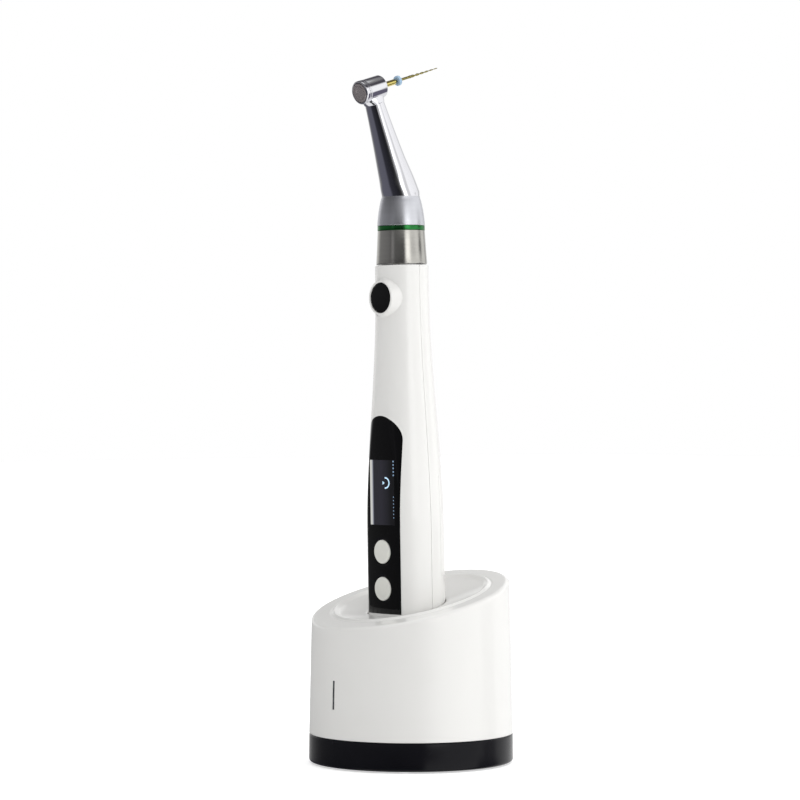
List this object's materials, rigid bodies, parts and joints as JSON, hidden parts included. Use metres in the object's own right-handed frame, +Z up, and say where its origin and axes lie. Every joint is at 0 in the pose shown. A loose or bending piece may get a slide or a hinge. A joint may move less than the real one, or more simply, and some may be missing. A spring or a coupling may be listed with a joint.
{
  "type": "endodontic motor",
  "caption": "Cordless endodontic motor with a contra-angle head and file, standing in a round charging base with a sloping top.",
  "frame": {"origin": "centre of the charging base's underside, at the feet", "axes": "+Z up; -Y towards the display side; +Y towards the side the file points to; +X to the right seen from the display side"},
  "size_m": [0.085, 0.085, 0.2902],
  "materials": {
    "white_shell": "glossy white moulded plastic",
    "black_trim": "glossy black plastic",
    "display_window": "clear-coated black display window",
    "lcd": "dark grey display",
    "key_plastic": "light warm grey, satin",
    "button_black": "glossy black",
    "collar_steel": "fine turned stainless steel",
    "green_anodised": "green anodised, polished",
    "head_steel": "polished",
    "cap_grey": "dark grey turned face",
    "gold_shank": "gold-coloured plating",
    "file_niti": "heat-treated nickel titanium, bronze tint",
    "stop_silicone": "light blue silicone",
    "inner_steel": "machined",
    "inner_brass": "machined",
    "board": "green glass-fibre board",
    "inner_black": "moulded",
    "cell_wrap": "blue film wrap",
    "soft_rubber": "black rubber",
    "light_pipe": "smoked clear plastic",
    "contact_gold": "gold-plated contacts"
  },
  "bodies": {
    "charger": {"charger_shell": "white_shell", "charger_tray": "black_trim", "tray_screws": "inner_steel", "rubber_feet": "soft_rubber", "ballast_plate": "inner_steel", "charger_board": "board", "charger_board_screws": "inner_steel", "power_socket": "inner_steel", "socket_cup": "inner_black", "contact_pin_block": "inner_black", "indicator_light_pipe": "light_pipe"},
    "contact_pins": {"charge_contact_pins": "contact_gold"},
    "handle": {"front_shell": "white_shell", "rear_shell": "white_shell", "display_panel": "display_window", "display_module": "lcd", "main_board": "board", "board_screws": "inner_steel", "key_switches": "inner_black", "start_switch": "board", "battery_cell": "cell_wrap", "battery_contacts": "inner_steel", "charge_pads": "contact_gold", "motor_case": "inner_steel", "motor_bearings": "inner_steel", "motor_damper_rings": "soft_rubber", "gear_case": "inner_steel", "output_bearing": "inner_steel", "motor_nose": "inner_steel", "nose_o_ring": "soft_rubber"},
    "battery_door": {"battery_cover": "white_shell"},
    "select_key": {"select_key": "key_plastic"},
    "set_key": {"set_key": "key_plastic"},
    "start_button": {"start_button": "button_black"},
    "rotor": {"motor_rotor": "inner_steel"},
    "carrier": {"planet_carrier": "inner_steel", "drive_coupling": "inner_steel"},
    "planet_a": {"planet_gear_a": "inner_brass"},
    "planet_b": {"planet_gear_b": "inner_brass"},
    "planet_c": {"planet_gear_c": "inner_brass"},
    "contra_angle": {"steel_sleeve": "collar_steel", "green_band": "green_anodised", "bearing_carrier": "inner_steel", "drive_bearings": "inner_steel", "neck_housing": "head_steel", "neck_bushes": "inner_brass", "head_housing": "head_steel", "head_cap_ring": "head_steel", "button_spring": "inner_steel", "spindle_bearings": "inner_steel"},
    "drive_shaft": {"drive_shaft": "inner_steel"},
    "neck_shaft": {"neck_shaft": "inner_steel"},
    "push_button": {"push_button": "cap_grey"},
    "spindle": {"spindle": "inner_steel", "chuck_latch": "inner_steel", "file_shank": "gold_shank", "file_blade": "file_niti"},
    "rubber_stop": {"rubber_stop": "stop_silicone"}
  },
  "joints": [
    {"name": "handpiece_lift", "type": "slide", "parent": "charger", "child": "handle", "axis": [0, -0.0201, 0.9998], "range_m": [0, 0.06]},
    {"name": "contact_pins_travel", "type": "slide", "parent": "charger", "child": "contact_pins", "axis": [0, -0.0201, 0.9998], "range_m": [-0.0006, 0]},
    {"name": "battery_cover_slide", "type": "slide", "parent": "handle", "child": "battery_door", "axis": [0, 0.9998, 0.0201], "range_m": [0, 0.015]},
    {"name": "select_key_press", "type": "slide", "parent": "handle", "child": "select_key", "axis": [0, 0.9998, 0.0201], "range_m": [0, 0.0004]},
    {"name": "set_key_press", "type": "slide", "parent": "handle", "child": "set_key", "axis": [0, 0.9998, 0.0201], "range_m": [0, 0.0004]},
    {"name": "start_button_press", "type": "slide", "parent": "handle", "child": "start_button", "axis": [0, 0.9998, 0.0201], "range_m": [0, 0.0005]},
    {"name": "rotor_spin", "type": "hinge", "parent": "handle", "child": "rotor", "pos_m": [0, -0.00421, 0.15998], "axis": [0, -0.0201, 0.9998], "continuous": true},
    {"name": "carrier_spin", "type": "hinge", "parent": "handle", "child": "carrier", "pos_m": [0, -0.00463, 0.18097], "axis": [0, -0.0201, 0.9998], "continuous": true},
    {"name": "planet_a_spin", "type": "hinge", "parent": "carrier", "child": "planet_a", "pos_m": [0.0036, -0.00456, 0.17772], "axis": [0, -0.0201, 0.9998], "continuous": true},
    {"name": "planet_b_spin", "type": "hinge", "parent": "carrier", "child": "planet_b", "pos_m": [-0.0018, -0.00145, 0.17778], "axis": [0, -0.0201, 0.9998], "continuous": true},
    {"name": "planet_c_spin", "type": "hinge", "parent": "carrier", "child": "planet_c", "pos_m": [-0.0018, -0.00768, 0.17766], "axis": [0, -0.0201, 0.9998], "continuous": true},
    {"name": "contra_angle_swivel", "type": "hinge", "parent": "handle", "child": "contra_angle", "pos_m": [0, -0.00525, 0.21197], "axis": [0, -0.0201, 0.9998], "continuous": true},
    {"name": "drive_shaft_spin", "type": "hinge", "parent": "contra_angle", "child": "drive_shaft", "pos_m": [0, -0.00531, 0.21496], "axis": [0, -0.0201, 0.9998], "continuous": true},
    {"name": "neck_shaft_spin", "type": "hinge", "parent": "contra_angle", "child": "neck_shaft", "pos_m": [0, -0.00572, 0.23506], "axis": [0, -0.3543, 0.9351], "continuous": true},
    {"name": "spindle_spin", "type": "hinge", "parent": "contra_angle", "child": "spindle", "pos_m": [0, -0.02215, 0.27845], "axis": [0, 0.9535, 0.3015], "continuous": true},
    {"name": "push_button_press", "type": "slide", "parent": "contra_angle", "child": "push_button", "axis": [0, 0.9535, 0.3015], "range_m": [0, 0.0006]},
    {"name": "rubber_stop_slide", "type": "slide", "parent": "spindle", "child": "rubber_stop", "axis": [0, 0.9535, 0.3015], "range_m": [-0.0009, 0.014]}
  ],
  "couplings": [
    {"joint": "carrier_spin", "follows": "rotor_spin", "ratio": 0.25},
    {"joint": "planet_a_spin", "follows": "rotor_spin", "ratio": -0.75},
    {"joint": "planet_b_spin", "follows": "rotor_spin", "ratio": -0.75},
    {"joint": "planet_c_spin", "follows": "rotor_spin", "ratio": -0.75},
    {"joint": "drive_shaft_spin", "follows": "rotor_spin", "ratio": 0.25},
    {"joint": "neck_shaft_spin", "follows": "rotor_spin", "ratio": 0.25},
    {"joint": "spindle_spin", "follows": "rotor_spin", "ratio": 0.25}
  ]
}
